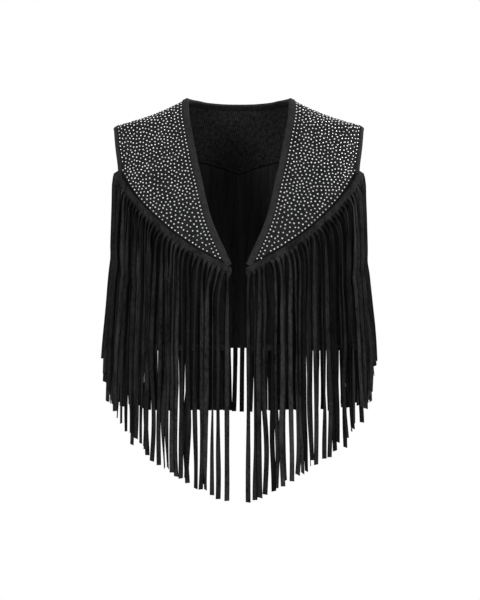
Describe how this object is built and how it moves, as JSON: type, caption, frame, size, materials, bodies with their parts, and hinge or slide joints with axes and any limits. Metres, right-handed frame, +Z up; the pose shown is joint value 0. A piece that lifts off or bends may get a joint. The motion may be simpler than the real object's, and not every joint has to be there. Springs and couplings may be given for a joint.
{
  "type": "fringe vest",
  "caption": "Open-front black faux suede vest with studded shoulder panels, long fringe from a curved front seam and short fringe round the hem.",
  "frame": {"origin": "middle of the shoulders, at mid depth and half way down the slope of the shoulder seams, where the wearer's shoulders hold the vest", "axes": "+Z up, -Y towards the front of the vest, +X towards the right of the picture, which is the wearer's left"},
  "size_m": [0.4267, 0.2375, 0.6365],
  "materials": {
    "suede_panel": "matt black faux suede with a short nap",
    "suede_body": "matt black faux suede",
    "suede_binding": "matt black faux suede, folded",
    "suede_fringe": "matt black faux suede, cut into strands",
    "stud_metal": "bright silver domes"
  },
  "bodies": {
    "root": {"front_panel_left": "suede_panel", "front_panel_right": "suede_panel", "front_body_left": "suede_body", "front_body_right": "suede_body", "back_yoke": "suede_body", "back_body": "suede_body", "neck_binding": "suede_binding", "armhole_binding_left": "suede_binding", "armhole_binding_right": "suede_binding", "front_fringe_left": "suede_fringe", "front_fringe_right": "suede_fringe", "hem_fringe_left": "suede_fringe", "hem_fringe_right": "suede_fringe", "hem_fringe_back": "suede_fringe"}
  },
  "joints": []
}
